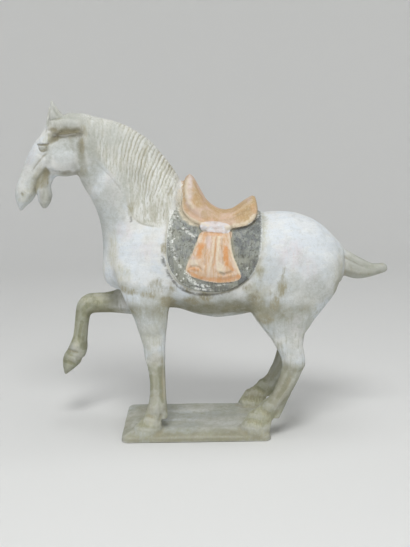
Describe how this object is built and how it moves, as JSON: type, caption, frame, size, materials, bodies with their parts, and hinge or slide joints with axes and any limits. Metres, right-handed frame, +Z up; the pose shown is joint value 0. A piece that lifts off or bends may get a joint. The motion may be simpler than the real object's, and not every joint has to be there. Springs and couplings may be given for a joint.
{
  "type": "prancing horse figure on a slab plinth",
  "caption": "Painted pottery horse standing on a slab plinth with its right foreleg raised, carrying a saddle, a round saddle cloth and a knotted drape.",
  "frame": {"origin": "centre of the plinth's flat underside", "axes": "+Z up; the horse faces -X and its tail points to +X; its left side, which carries the whole standing foreleg, is -Y"},
  "size_m": [0.4967, 0.137, 0.4469],
  "materials": {
    "painted_pottery": "matt white slip over pale clay, with worn orange and grey cold paint and earthy stains"
  },
  "bodies": {
    "root": {"horse_figure": "painted_pottery"}
  },
  "joints": []
}
